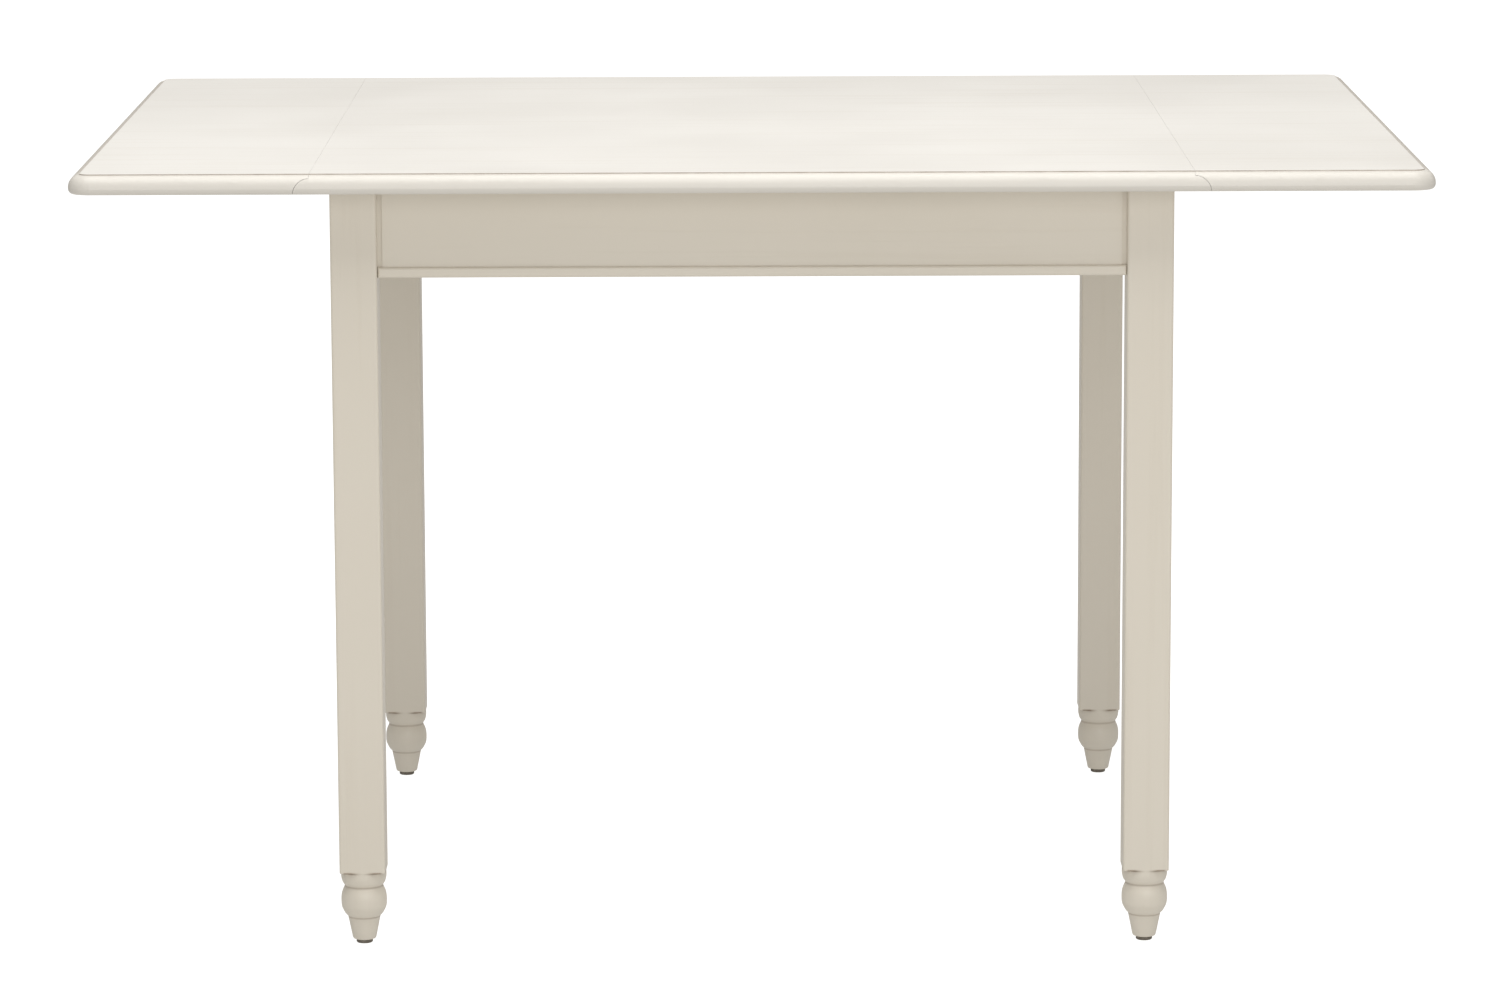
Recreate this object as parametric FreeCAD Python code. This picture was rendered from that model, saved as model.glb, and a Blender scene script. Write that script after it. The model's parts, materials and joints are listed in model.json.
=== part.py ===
"""A painted drop leaf table, as the separate pieces it comes apart into.

A fixed centre top sits on a square frame of four aprons and four straight legs with turned feet.
A leaf hangs on three rule-joint hinges at each end. Two slotted steel stays hold each leaf level.
Millimetres, +Z up, +X along the table's length, front towards -Y, origin on the floor at the centre.
"""

import FreeCAD, Part
import math
import os

V = FreeCAD.Vector
X_AXIS = V(1, 0, 0)
Y_AXIS = V(0, 1, 0)
Z_AXIS = V(0, 0, 1)
ORIGIN = V(0, 0, 0)

# ---- Driving dimensions: the table ----
TABLE_LENGTH = 1295.0  # leaf tip to leaf tip, both leaves up
TABLE_DEPTH = 914.0
TABLE_HEIGHT = 762.0
TOP_THICK = 19.0
LEAF_WIDTH = 229.0
FRAME_SIDE = 805.5  # outside to outside of the legs, the same both ways
LEG_SIDE = 44.5
APRON_HEIGHT = 87.0
APRON_THICK = 20.0
APRON_SET_BACK = 6.0  # behind the legs' outer faces

# ---- Moulded edge of the top: a step, a thumbnail round, and a smaller round underneath ----
EDGE_STEP = 1.0
EDGE_ROUND_IN = 11.0
EDGE_ROUND_DOWN = 12.5
EDGE_UNDER_IN = 4.0
PLAN_CORNER_RADIUS = 22.0

# ---- Rule joint between the centre top and a leaf ----
RULE_STEP = 4.0
RULE_GAP = 0.3  # between the round and the cove
RULE_SEAM = 0.15  # between the two square edges above them

# ---- Bead strip along the apron's lower edge ----
BEAD_HEIGHT = 10.0
BEAD_REBATE = 3.0
BEAD_PROUD = 3.0
BEAD_ROUND = 2.8
BEAD_SHORT = 0.3  # each end stops this far from the leg
APRON_QUIRK_WIDTH = 5.0  # the small rebate down the apron's face beside each leg
APRON_QUIRK_DEPTH = 1.5

# ---- Leg and turned foot: (radius, height above the floor) for each point that is named ----
LEG_EDGE_RADIUS = 2.4
SHOULDER_HEIGHT = 72.8
POMMEL_FLAT_RADIUS = 29.0
POMMEL_RISE = 4.0
FOOT_TOE = (9.8, 4.0)
FOOT_CONE_LOW = (11.5, 5.6)
FOOT_CONE_TOP = (15.7, 26.0)
FOOT_CREASE = (15.7, 27.0)
FOOT_BALL = ((19.4, 31.4), (21.7, 36.5), (22.2, 42.5), (22.0, 47.5), (21.0, 52.0))
FOOT_NECK = (18.6, 57.5)
FOOT_RING = ((20.8, 61.2), (21.9, 65.2), (22.2, 69.0))
FOOT_RING_TOP = (22.0, 72.8)
GLIDE_RADIUS = 8.0
GLIDE_HEIGHT = 4.0
GLIDE_ROUND = 1.4
GLIDE_NAIL_RADIUS = 1.2
GLIDE_NAIL_LENGTH = 14.0

# ---- Hardware ----
HOLE_CLEARANCE = 0.05
SCREW_RADIUS = 1.7
SCREW_HEAD_RADIUS = 3.3
SCREW_HEAD_DEPTH = 1.6
RECESS_LENGTH = 3.6
RECESS_WIDTH = 0.9
RECESS_DEPTH = 1.1
PLATE_THICK = 1.6
HINGE_LENGTH = 64.0
HINGE_PLACES = {"front": -310.0, "middle": 0.0, "rear": 310.0}
HINGE_TOP_REACH = 19.0
HINGE_LEAF_REACH = 56.0
KNUCKLES = 5
KNUCKLE_RADIUS = 3.0
KNUCKLE_GAP = 0.4
HINGE_PIN_RADIUS = 1.4
HINGE_RUNNING = 0.06
HINGE_SCREW_LENGTH = 14.0
HINGE_SCREW_PITCH = 22.0
HINGE_TOP_SCREW_IN = 11.0
HINGE_LEAF_SCREWS_OUT = (26.0, 46.0)

# ---- Slotted stay: a bar on the apron whose stud runs in a curved slot on the leaf ----
STAY_Y = 230.0
STAY_PIVOT_DROP = 11.0  # below the hinge line, and the same distance inboard of it
STAY_LENGTH = 130.0
STAY_BAR_HEIGHT = 9.0
STAY_BAR_THICK = 3.0
STAY_SIDE_GAP = 0.4
STAY_STUD_RADIUS = 2.5
STAY_HEAD_RADIUS = 4.4
STAY_HEAD_THICK = 1.5
STAY_SLOT_GAP = 0.3
STAY_WEB_HALF = 21.0
STAY_WEB_DROP = 22.0
STAY_FLANGE = 20.0
STAY_BRACKET_WIDTH = 27.0
STAY_BRACKET_TOP = 4.0
STAY_BRACKET_LOW = 26.0
STAY_SCREW_LENGTH = 13.0

# ---- Corner blocks, hanger bolts and the angles that hold the top down ----
BLOCK_HEIGHT = 60.0
BLOCK_NEAR = 78.0  # from the apron's inner faces to the block's inner corners
BLOCK_FAR = 53.0  # from the apron's inner faces to the block's outer corners
BOLT_RADIUS = 3.0
BOLT_IN_LEG = 35.0
BOLT_TAIL = 14.0
NUT_RADIUS = 6.5
NUT_THICK = 5.5
WASHER_RADIUS = 9.0
WASHER_THICK = 1.5
BLOCK_SCREW_LENGTH = 25.0
BLOCK_SCREW_RISE = 16.0
BLOCK_SCREW_SEAT = 9.0
COUNTERBORE_RADIUS = 4.0
ANGLE_LEG = 20.0
ANGLE_WIDTH = 18.0
ANGLE_PLACE = 190.0
ANGLE_SCREW_LENGTH = 14.0

# ---- Places worked out from those ----
UNDERSIDE = TABLE_HEIGHT - TOP_THICK
SEAM_X = TABLE_LENGTH / 2 - LEAF_WIDTH
RULE_RADIUS = TOP_THICK - RULE_STEP
FRAME_HALF = FRAME_SIDE / 2
LEG_CENTRE = FRAME_HALF - LEG_SIDE / 2
LEG_INNER = FRAME_HALF - LEG_SIDE
APRON_OUTER = FRAME_HALF - APRON_SET_BACK
APRON_INNER = APRON_OUTER - APRON_THICK
APRON_LOW = UNDERSIDE - APRON_HEIGHT
NOSE_HEIGHT = TABLE_HEIGHT - EDGE_STEP - EDGE_ROUND_DOWN
STAY_PIVOT_X = SEAM_X - STAY_PIVOT_DROP
STAY_PIVOT_Z = UNDERSIDE - STAY_PIVOT_DROP
SIDES = {"left": -1, "right": 1}
ENDS = {"front": -1, "rear": 1}


def box(low, high):
    """A block between two opposite corners, given in any order along each axis."""
    corner = V(min(low.x, high.x), min(low.y, high.y), min(low.z, high.z))
    size = V(abs(high.x - low.x), abs(high.y - low.y), abs(high.z - low.z))
    return Part.makeBox(size.x, size.y, size.z, corner)


def rod(radius, start, end):
    """A round bar from start to end."""
    return Part.makeCylinder(radius, (end - start).Length, start, end - start)


def quarter(centre, first, second):
    """A quarter of a circle or ellipse about centre, from first to second."""
    a = first - centre
    b = second - centre
    if abs(a.Length - b.Length) < 1e-6:
        return Part.Arc(first, centre + (a + b) * math.sqrt(0.5), second).toShape()
    long_end, short_end = (first, second) if a.Length > b.Length else (second, first)
    return Part.ArcOfEllipse(Part.Ellipse(long_end, short_end, centre), 0, math.pi / 2).toShape()


def line(first, second):
    return Part.LineSegment(first, second).toShape()


def prism(edges, sweep):
    """The solid swept along a vector from a closed outline of edges."""
    outline = Part.Wire(Part.__sortEdges__(edges))
    return Part.Face(outline).extrude(sweep)


def turned(runs):
    """A solid turned about the Z axis, whose outline runs from the axis and back to the axis.

    Each run is a list of (radius, height) points: two for a straight line, more for a smooth curve.
    """
    edges = []
    for run in runs:
        points = [V(radius, 0, height) for radius, height in run]
        if len(points) == 2:
            edges.append(line(points[0], points[1]))
        else:
            curve = Part.BSplineCurve()
            curve.interpolate(points)
            edges.append(curve.toShape())
    start = runs[0][0]
    end = runs[-1][-1]
    edges.append(line(V(end[0], 0, end[1]), V(start[0], 0, start[1])))
    return Part.Face(Part.Wire(Part.__sortEdges__(edges))).revolve(ORIGIN, Z_AXIS, 360)


def mirrored(shape, x_sign, y_sign):
    """A piece made for the right rear corner, moved to the corner that the signs name."""
    if x_sign < 0:
        shape = shape.mirror(ORIGIN, X_AXIS)
    if y_sign < 0:
        shape = shape.mirror(ORIGIN, Y_AXIS)
    return shape


def screw(seat, direction, length, clearance=0.0):
    """A countersunk screw whose head lies flush at seat; with clearance, the hole it goes in."""
    d = V(direction).normalize()
    head = Part.makeCone(
        SCREW_HEAD_RADIUS + clearance, SCREW_RADIUS + clearance, SCREW_HEAD_DEPTH, seat, d
    )
    body = head.fuse(rod(SCREW_RADIUS + clearance, seat, seat + d * (length + clearance)))
    if clearance:
        return body.fuse(rod(SCREW_HEAD_RADIUS + clearance, seat - d, seat))
    across = d.cross(X_AXIS if abs(d.x) < 0.9 else Y_AXIS).normalize()
    for wide, narrow in ((across, d.cross(across)), (d.cross(across), across)):
        start = seat - wide * (RECESS_LENGTH / 2) - narrow * (RECESS_WIDTH / 2) - d
        outline = [start, start + wide * RECESS_LENGTH, start + wide * RECESS_LENGTH + narrow * RECESS_WIDTH]
        outline += [start + narrow * RECESS_WIDTH, start]
        slot = Part.Face(Part.makePolygon(outline)).extrude(d * (1 + RECESS_DEPTH))
        body = body.cut(slot)
    return body


def rim(place):
    """Edges of the moulded rim, underside first, and its lowest and highest points.

    place turns a distance in from the outermost line, and a height, into a point.
    """
    under = place(EDGE_UNDER_IN, UNDERSIDE)
    nose = place(0, NOSE_HEIGHT)
    round_top = place(EDGE_ROUND_IN, TABLE_HEIGHT - EDGE_STEP)
    step_top = place(EDGE_ROUND_IN, TABLE_HEIGHT)
    edges = [
        quarter(place(EDGE_UNDER_IN, NOSE_HEIGHT), under, nose),
        quarter(place(EDGE_ROUND_IN, NOSE_HEIGHT), nose, round_top),
        line(round_top, step_top),
    ]
    return edges, under, step_top


def closed_rim(place, inner):
    """The moulded rim closed by an upright line at the distance inner from the outermost line."""
    edges, low, high = rim(place)
    inner_low = place(inner, UNDERSIDE)
    inner_high = place(inner, TABLE_HEIGHT)
    return edges + [line(low, inner_low), line(inner_low, inner_high), line(inner_high, high)]


def moulded_bar(half_width, half_run, point):
    """A bar with the moulded rim along both sides; point takes (across, along, height)."""
    near = rim(lambda inset, height: point(-half_width + inset, -half_run, height))
    far = rim(lambda inset, height: point(half_width - inset, -half_run, height))
    edges = near[0] + far[0] + [line(near[1], far[1]), line(near[2], far[2])]
    return prism(edges, point(0, 2 * half_run, 0))


def moulded_blank():
    """The whole top in one piece, moulded all round, before it is parted at the rule joints.

    Two crossing moulded bars meet in mitred corners. The outer part of each corner is then
    replaced by the same moulding turned about the centre of the corner's plan radius.
    """
    half_x = TABLE_LENGTH / 2
    half_y = TABLE_DEPTH / 2
    corner = PLAN_CORNER_RADIUS
    lengthwise = moulded_bar(half_y, half_x + 10, lambda across, along, height: V(along, across, height))
    crosswise = moulded_bar(half_x, half_y + 10, lambda across, along, height: V(across, along, height))
    blank = lengthwise.common(crosswise)
    pivot = V(half_x - corner, half_y - corner, UNDERSIDE)
    edges = closed_rim(lambda inset, height: V(half_x - inset, pivot.y, height), 2 * corner)
    section = Part.Face(Part.Wire(Part.__sortEdges__(edges)))
    keep = box(pivot - V(0, 1, 1), V(half_x + 1, pivot.y + 1, TABLE_HEIGHT + 1))
    turn = section.common(keep).revolve(pivot, Z_AXIS, 90)
    cell = box(pivot - V(0, 0, 1), V(half_x + 1, half_y + 1, TABLE_HEIGHT + 1))
    for x_sign in (-1, 1):
        for y_sign in (-1, 1):
            blank = blank.cut(mirrored(cell, x_sign, y_sign)).fuse(mirrored(turn, x_sign, y_sign))
    return blank.removeSplitter()


def rule_end(side, gap, seam):
    """Edges of the rule joint in the XZ plane, underside first: a round, then a small step.

    gap makes the round larger, for the leaf's cove, and seam moves the step away from the joint.
    """
    axis = V(side * SEAM_X, -TABLE_DEPTH, UNDERSIDE)
    radius = RULE_RADIUS + gap
    turn = math.radians(45)
    shoulder = axis + V(side * seam, 0, math.sqrt(radius**2 - seam**2))
    low = axis + V(side * radius, 0, 0)
    middle = axis + V(side * radius * math.cos(turn), 0, radius * math.sin(turn))
    below = V(low.x, low.y, UNDERSIDE - 1)
    top = V(shoulder.x, low.y, TABLE_HEIGHT + 1)
    return [line(below, low), Part.Arc(low, middle, shoulder).toShape(), line(shoulder, top)], below, top


def region(first, second):
    """The part of space between two ends in the XZ plane, swept across the table's depth."""
    edges = first[0] + second[0] + [line(first[1], second[1]), line(first[2], second[2])]
    return prism(edges, V(0, 2 * TABLE_DEPTH, 0))


def beyond(side):
    """An upright line past a leaf's outer edge."""
    low = V(side * TABLE_LENGTH, -TABLE_DEPTH, UNDERSIDE - 1)
    high = V(side * TABLE_LENGTH, -TABLE_DEPTH, TABLE_HEIGHT + 1)
    return [line(low, high)], low, high


def top_boards():
    """The centre top and the two leaves, before their screw holes."""
    blank = moulded_blank()
    centre = blank.common(region(rule_end(-1, 0, 0), rule_end(1, 0, 0)))
    for y in HINGE_PLACES.values():
        half = HINGE_LENGTH / 2 + 1
        for side in SIDES.values():
            low = V(side * (SEAM_X - KNUCKLE_RADIUS - 1.5), y - half, UNDERSIDE - 1)
            high = V(side * (SEAM_X + RULE_RADIUS + 1), y + half, UNDERSIDE + KNUCKLE_RADIUS + 1)
            centre = centre.cut(box(low, high))
    leaves = {}
    for name, side in SIDES.items():
        leaves[name] = blank.common(region(rule_end(side, RULE_GAP, RULE_SEAM), beyond(side)))
    return centre, leaves


def leg_and_glide():
    """The right rear leg in one piece with its turned foot, and the glide nailed under it."""
    half = LEG_SIDE / 2
    shaft = box(V(-half, -half, SHOULDER_HEIGHT), V(half, half, UNDERSIDE))
    upright = [e for e in shaft.Edges if e.Length > 2 * LEG_SIDE]
    shaft = shaft.makeFillet(LEG_EDGE_RADIUS, upright)
    corner = half * math.sqrt(2)
    pommel_top = (corner + 1, SHOULDER_HEIGHT + POMMEL_RISE)
    pommel_mid = (corner - 0.6, SHOULDER_HEIGHT + POMMEL_RISE * 0.4)
    pommel_low = (POMMEL_FLAT_RADIUS, SHOULDER_HEIGHT)
    pommel = turned([
        [(0, SHOULDER_HEIGHT), pommel_low],
        [pommel_low, pommel_mid, pommel_top],
        [pommel_top, (pommel_top[0], UNDERSIDE + 1)],
        [(pommel_top[0], UNDERSIDE + 1), (0, UNDERSIDE + 1)],
    ])
    buried = (FOOT_RING_TOP[0] - 1, SHOULDER_HEIGHT + 1)
    foot = turned([
        [(0, FOOT_TOE[1]), FOOT_TOE],
        [FOOT_TOE, FOOT_CONE_LOW],
        [FOOT_CONE_LOW, FOOT_CONE_TOP],
        [FOOT_CONE_TOP, FOOT_CREASE],
        [FOOT_CREASE, *FOOT_BALL, FOOT_NECK],
        [FOOT_NECK, *FOOT_RING, FOOT_RING_TOP],
        [FOOT_RING_TOP, buried],
        [buried, (0, buried[1])],
    ])
    leg = shaft.common(pommel).fuse(foot).removeSplitter()
    nail_hole = rod(GLIDE_NAIL_RADIUS + HOLE_CLEARANCE, ORIGIN, V(0, 0, GLIDE_HEIGHT + GLIDE_NAIL_LENGTH + 0.5))
    glide = Part.makeCylinder(GLIDE_RADIUS, GLIDE_HEIGHT)
    lower_rim = [e for e in glide.Edges if e.Closed and e.CenterOfMass.z < 0.1]
    glide = glide.makeFillet(GLIDE_ROUND, lower_rim)
    glide = glide.fuse(rod(GLIDE_NAIL_RADIUS, V(0, 0, 1), V(0, 0, GLIDE_HEIGHT + GLIDE_NAIL_LENGTH)))
    place = V(LEG_CENTRE, LEG_CENTRE, 0)
    leg = leg.cut(nail_hole)
    leg.translate(place)
    glide.translate(place)
    return leg, glide


def apron_and_bead():
    """The rear apron between two legs, and the bead strip let into its lower outer corner."""
    board = box(V(-LEG_INNER, APRON_INNER, APRON_LOW), V(LEG_INNER, APRON_OUTER, UNDERSIDE))
    rebate_y = APRON_OUTER - BEAD_REBATE
    bead_top = APRON_LOW + BEAD_HEIGHT
    board = board.cut(box(V(-LEG_INNER, rebate_y, APRON_LOW), V(LEG_INNER, APRON_OUTER, bead_top)))
    for side in SIDES.values():
        inner = V(side * (LEG_INNER - APRON_QUIRK_WIDTH), APRON_OUTER - APRON_QUIRK_DEPTH, bead_top)
        board = board.cut(box(inner, V(side * LEG_INNER, APRON_OUTER, UNDERSIDE)))
    end = LEG_INNER - BEAD_SHORT
    strip = box(V(-end, rebate_y, APRON_LOW), V(end, APRON_OUTER + BEAD_PROUD, bead_top))
    nose = [e for e in strip.Edges if e.CenterOfMass.y > APRON_OUTER + BEAD_PROUD - 0.1]
    return board, strip.makeFillet(BEAD_ROUND, nose)


def corner_hardware():
    """The right rear corner block with its bolt, washer, nut and screws."""
    near = APRON_INNER - BLOCK_NEAR
    far = APRON_INNER - BLOCK_FAR
    mid_height = UNDERSIDE - BLOCK_HEIGHT / 2
    low = UNDERSIDE - BLOCK_HEIGHT
    outline = [(APRON_INNER, near), (APRON_INNER, far), (far, APRON_INNER), (near, APRON_INNER)]
    corners = [V(x, y, low) for x, y in outline]
    block = Part.Face(Part.makePolygon(corners + corners[:1])).extrude(V(0, 0, BLOCK_HEIGHT))
    outward = V(1, 1, 0).normalize()
    face = V((APRON_INNER + near) / 2, (APRON_INNER + near) / 2, mid_height)
    corner = V(LEG_INNER, LEG_INNER, mid_height)
    tail = face - outward * BOLT_TAIL
    tip = corner + outward * BOLT_IN_LEG
    bolt = rod(BOLT_RADIUS, tail, tip)
    bolt_hole = rod(BOLT_RADIUS + HOLE_CLEARANCE, tail, tip + outward)
    washer = rod(WASHER_RADIUS, face - outward * WASHER_THICK, face).cut(bolt_hole)
    nut_end = face - outward * WASHER_THICK
    nut = hexagon(NUT_RADIUS, nut_end - outward * NUT_THICK, nut_end).cut(bolt_hole)
    screws = []
    for along_x in (True, False):
        for rise in (-BLOCK_SCREW_RISE, BLOCK_SCREW_RISE):
            reach = APRON_INNER - BLOCK_SCREW_SEAT
            side = (near + far) / 2
            seat = V(reach, side, mid_height + rise) if along_x else V(side, reach, mid_height + rise)
            screws.append((seat, X_AXIS if along_x else Y_AXIS))
    for seat, direction in screws:
        block = block.cut(rod(COUNTERBORE_RADIUS, seat - direction * 40, seat))
        block = block.cut(screw(seat, direction, BLOCK_SCREW_LENGTH, HOLE_CLEARANCE))
    return block.cut(bolt_hole), bolt, bolt_hole, washer, nut, screws


def hexagon(radius, start, end):
    """A six-sided bar from start to end, across-corners radius given."""
    along = (end - start).normalize()
    across = along.cross(Z_AXIS).normalize()
    points = []
    for k in range(7):
        turn = math.radians(60 * k)
        points.append(start + across * (radius * math.cos(turn)) + Z_AXIS * (radius * math.sin(turn)))
    return Part.Face(Part.makePolygon(points)).extrude(end - start)


def top_angles():
    """The eight steel angles inside the aprons, with the screws of each."""
    angles = []
    screws = []
    bend = V(APRON_INNER, 0, UNDERSIDE)
    upright = box(bend + V(-PLATE_THICK, -ANGLE_WIDTH / 2, -ANGLE_LEG), bend + V(0, ANGLE_WIDTH / 2, 0))
    level = box(bend + V(-ANGLE_LEG, -ANGLE_WIDTH / 2, -PLATE_THICK), bend + V(0, ANGLE_WIDTH / 2, 0))
    angle = upright.fuse(level).removeSplitter()
    into_apron = (bend + V(-PLATE_THICK, 0, -ANGLE_LEG * 0.62), X_AXIS)
    into_top = (bend + V(-ANGLE_LEG * 0.62, 0, -PLATE_THICK), Z_AXIS)
    for seat, direction in (into_apron, into_top):
        angle = angle.cut(screw(seat, direction, ANGLE_SCREW_LENGTH, HOLE_CLEARANCE))
    for quarter_turn in range(4):
        for place in (-ANGLE_PLACE, ANGLE_PLACE):
            turn = FreeCAD.Rotation(Z_AXIS, 90 * quarter_turn)
            piece = angle.copy()
            piece.translate(V(0, place, 0))
            piece.rotate(ORIGIN, Z_AXIS, 90 * quarter_turn)
            angles.append(piece)
            for seat, direction in (into_apron, into_top):
                screws.append((turn.multVec(seat + V(0, place, 0)), turn.multVec(direction)))
    return angles, screws


def hinge_plate(y, for_leaf):
    """One half of a right-hand rule-joint hinge at y, with its knuckles, and its screws."""
    axis = V(SEAM_X, y, UNDERSIDE)
    pitch = HINGE_LENGTH / KNUCKLES
    half = HINGE_LENGTH / 2
    way = 1 if for_leaf else -1
    reach = HINGE_LEAF_REACH if for_leaf else HINGE_TOP_REACH
    clear = KNUCKLE_RADIUS + KNUCKLE_GAP
    plate = box(axis + V(way * clear, -half, -PLATE_THICK), axis + V(way * reach, half, 0))
    for k in range(KNUCKLES):
        if (k % 2 == 1) != for_leaf:
            continue
        start = -half + k * pitch + KNUCKLE_GAP / 2
        end = start + pitch - KNUCKLE_GAP
        plate = plate.fuse(rod(KNUCKLE_RADIUS, axis + V(0, start, 0), axis + V(0, end, 0)))
        plate = plate.fuse(box(axis + V(0, start, -PLATE_THICK), axis + V(way * clear, end, 0)))
    play = HINGE_RUNNING if for_leaf else HOLE_CLEARANCE / 2
    pin_hole = rod(HINGE_PIN_RADIUS + play, axis + V(0, -half - 1, 0), axis + V(0, half + 1, 0))
    plate = plate.cut(pin_hole).removeSplitter()
    screws = []
    if for_leaf:
        for out in HINGE_LEAF_SCREWS_OUT:
            for along in (-HINGE_SCREW_PITCH, HINGE_SCREW_PITCH):
                screws.append((axis + V(out, along, -PLATE_THICK), Z_AXIS))
    else:
        for along in (-HINGE_SCREW_PITCH, 0, HINGE_SCREW_PITCH):
            screws.append((axis + V(-HINGE_TOP_SCREW_IN, along, -PLATE_THICK), Z_AXIS))
    for seat, direction in screws:
        plate = plate.cut(screw(seat, direction, HINGE_SCREW_LENGTH, HOLE_CLEARANCE))
    return plate, screws


def hinge_pin(y):
    """The pin of one right-hand hinge, a little longer than its knuckles."""
    half = HINGE_LENGTH / 2 + 0.6
    return rod(HINGE_PIN_RADIUS, V(SEAM_X, y - half, UNDERSIDE), V(SEAM_X, y + half, UNDERSIDE))


def stay_bar():
    """The right rear stay's bar, level, with its pivot hole and its stud hole."""
    near_y = STAY_Y + STAY_SIDE_GAP
    far_y = near_y + STAY_BAR_THICK
    half = STAY_BAR_HEIGHT / 2
    tip_x = STAY_PIVOT_X + STAY_LENGTH
    bar = box(V(STAY_PIVOT_X, near_y, STAY_PIVOT_Z - half), V(tip_x, far_y, STAY_PIVOT_Z + half))
    for x in (STAY_PIVOT_X, tip_x):
        bar = bar.fuse(rod(half, V(x, near_y, STAY_PIVOT_Z), V(x, far_y, STAY_PIVOT_Z)))
    bar = bar.removeSplitter()
    for x, play in ((STAY_PIVOT_X, HINGE_RUNNING), (tip_x, HOLE_CLEARANCE / 2)):
        hole = rod(STAY_STUD_RADIUS + play, V(x, near_y - 1, STAY_PIVOT_Z), V(x, far_y + 1, STAY_PIVOT_Z))
        bar = bar.cut(hole)
    return bar


def stud(x, z, start_y, end_y):
    """A round stud along Y with a flat head at each end, outside start_y and end_y."""
    shank = rod(STAY_STUD_RADIUS, V(x, start_y - STAY_HEAD_THICK, z), V(x, end_y + STAY_HEAD_THICK, z))
    near = rod(STAY_HEAD_RADIUS, V(x, start_y - STAY_HEAD_THICK, z), V(x, start_y, z))
    far = rod(STAY_HEAD_RADIUS, V(x, end_y, z), V(x, end_y + STAY_HEAD_THICK, z))
    return shank.fuse(near).fuse(far).removeSplitter()


def stay_bracket():
    """The angle on the apron that carries the bar's pivot, its pivot stud, and its screws."""
    plate_low = V(APRON_OUTER, STAY_Y - STAY_BRACKET_WIDTH, UNDERSIDE - STAY_BRACKET_LOW)
    plate_high = V(APRON_OUTER + PLATE_THICK, STAY_Y, UNDERSIDE - STAY_BRACKET_TOP)
    half = STAY_BAR_HEIGHT / 2 + 0.5
    tab_low = V(APRON_OUTER, STAY_Y - PLATE_THICK, STAY_PIVOT_Z - half)
    tab_high = V(STAY_PIVOT_X, STAY_Y, STAY_PIVOT_Z + half)
    pivot = V(STAY_PIVOT_X, STAY_Y, STAY_PIVOT_Z)
    ear = rod(half, pivot - V(0, PLATE_THICK, 0), pivot)
    bracket = box(plate_low, plate_high).fuse(box(tab_low, tab_high)).fuse(ear).removeSplitter()
    play = HOLE_CLEARANCE / 2
    bracket = bracket.cut(rod(STAY_STUD_RADIUS + play, pivot - V(0, 5, 0), pivot + V(0, 5, 0)))
    screws = []
    for along in (0.4, 0.8):
        seat = V(plate_high.x, STAY_Y - STAY_BRACKET_WIDTH * along, (plate_low.z + plate_high.z) / 2)
        screws.append((seat, -X_AXIS))
    for seat, direction in screws:
        bracket = bracket.cut(screw(seat, direction, STAY_SCREW_LENGTH, HOLE_CLEARANCE))
    outer = STAY_Y + STAY_SIDE_GAP + STAY_BAR_THICK + STAY_SIDE_GAP
    return bracket, stud(STAY_PIVOT_X, STAY_PIVOT_Z, STAY_Y - PLATE_THICK, outer), screws


def stay_slot_plate():
    """The angle under the leaf whose web has the curved slot that the bar's stud runs in.

    The bar and the leaf turn together about two parallel lines, so in the leaf's frame the stud
    moves on a circle as wide as those lines are apart, about the leaf's point above the bar's end.
    """
    near_y = STAY_Y + STAY_BAR_THICK + 3 * STAY_SIDE_GAP
    web_y = near_y + PLATE_THICK
    centre = V(SEAM_X + STAY_LENGTH, near_y, UNDERSIDE)
    web_low = V(centre.x - STAY_WEB_HALF, near_y, UNDERSIDE - STAY_WEB_DROP)
    web = box(web_low, V(centre.x + STAY_WEB_HALF, web_y, UNDERSIDE))
    corners = [e for e in web.Edges if abs(e.Length - PLATE_THICK) < 1e-6 and e.CenterOfMass.z < UNDERSIDE - 1]
    web = web.makeFillet(STAY_WEB_DROP / 4, corners)
    flange_low = V(web_low.x, near_y, UNDERSIDE - PLATE_THICK)
    flange_high = V(centre.x + STAY_WEB_HALF, near_y + STAY_FLANGE, UNDERSIDE)
    plate = web.fuse(box(flange_low, flange_high)).removeSplitter()
    slot_radius = STAY_PIVOT_DROP * math.sqrt(2)
    half = STAY_STUD_RADIUS + STAY_SLOT_GAP
    start = centre - V(0, 1, 0)
    depth = PLATE_THICK + 2
    ring = Part.makeCylinder(slot_radius + half, depth, start, Y_AXIS)
    ring = ring.cut(Part.makeCylinder(slot_radius - half, depth, start, Y_AXIS))
    reach = 2 * slot_radius
    wedge = [start, start + V(-reach, 0, -reach), start + V(reach, 0, -reach), start]
    slot = ring.common(Part.Face(Part.makePolygon(wedge)).extrude(V(0, depth, 0)))
    for way in (-1, 1):
        end = start + V(way * STAY_PIVOT_DROP, 0, -STAY_PIVOT_DROP)
        slot = slot.fuse(Part.makeCylinder(half, depth, end, Y_AXIS))
    plate = plate.cut(slot)
    screws = []
    for way in (-1, 1):
        seat = V(centre.x + way * STAY_WEB_HALF * 0.6, near_y + STAY_FLANGE * 0.6, UNDERSIDE - PLATE_THICK)
        screws.append((seat, Z_AXIS))
    for seat, direction in screws:
        plate = plate.cut(screw(seat, direction, STAY_SCREW_LENGTH, HOLE_CLEARANCE))
    return plate, web_y, screws


def copies(pairs, x_sign, y_sign):
    """Screw places made for the right rear corner, moved to the corner that the signs name."""
    return [
        (V(p.x * x_sign, p.y * y_sign, p.z), V(d.x * x_sign, d.y * y_sign, d.z)) for p, d in pairs
    ]


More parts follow.
